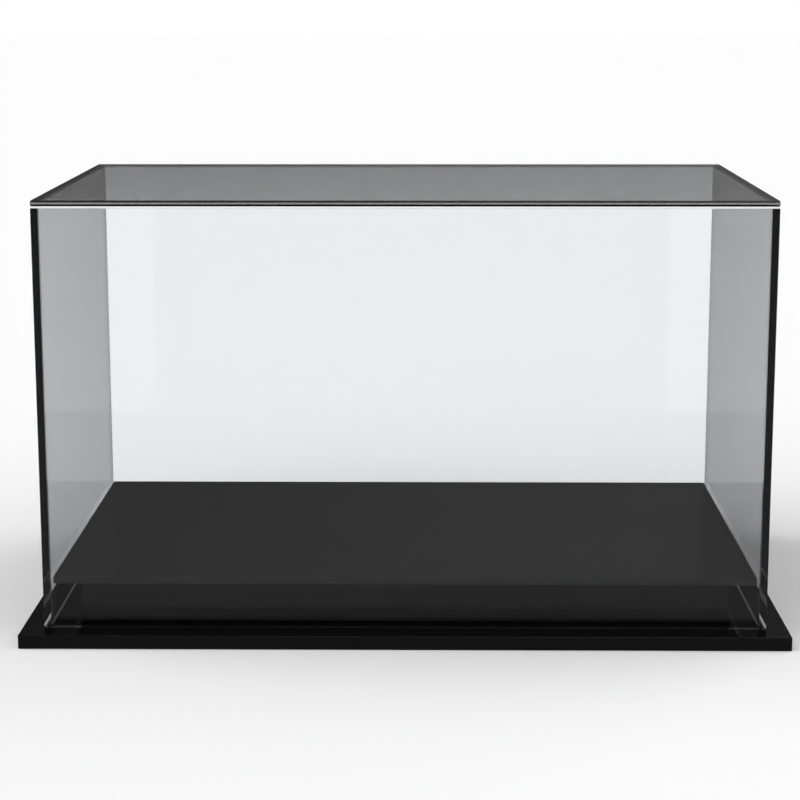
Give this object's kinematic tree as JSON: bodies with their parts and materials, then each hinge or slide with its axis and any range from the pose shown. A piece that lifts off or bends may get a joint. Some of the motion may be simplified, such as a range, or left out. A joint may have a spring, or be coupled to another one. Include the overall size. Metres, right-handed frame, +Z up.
{
  "type": "display case",
  "caption": "Free-standing display case: a clear acrylic box cover that lifts off a raised glossy black base, for showing a ball, a glove or a similar keepsake.",
  "frame": {"origin": "centre of the base plate's underside, on the surface that the case stands on", "axes": "+Z up, the way the cover lifts; +X along the long side, to the viewer's right; the front faces -Y"},
  "size_m": [0.41, 0.263, 0.2365],
  "materials": {
    "black_acrylic": "polished",
    "clear_acrylic": "polished",
    "clear_cement": "gloss"
  },
  "bodies": {
    "base": {"base_plate": "black_acrylic", "riser_front": "black_acrylic", "riser_back": "black_acrylic", "riser_left": "black_acrylic", "riser_right": "black_acrylic", "deck": "black_acrylic"},
    "cover": {"cover_front": "clear_acrylic", "cover_back": "clear_acrylic", "cover_left": "clear_acrylic", "cover_right": "clear_acrylic", "top_cement_seam": "clear_cement", "cover_roof": "clear_acrylic"}
  },
  "joints": [
    {"name": "cover_lift", "type": "slide", "parent": "base", "child": "cover", "axis": [0, 0, 1], "range_m": [0, 0.24]}
  ]
}
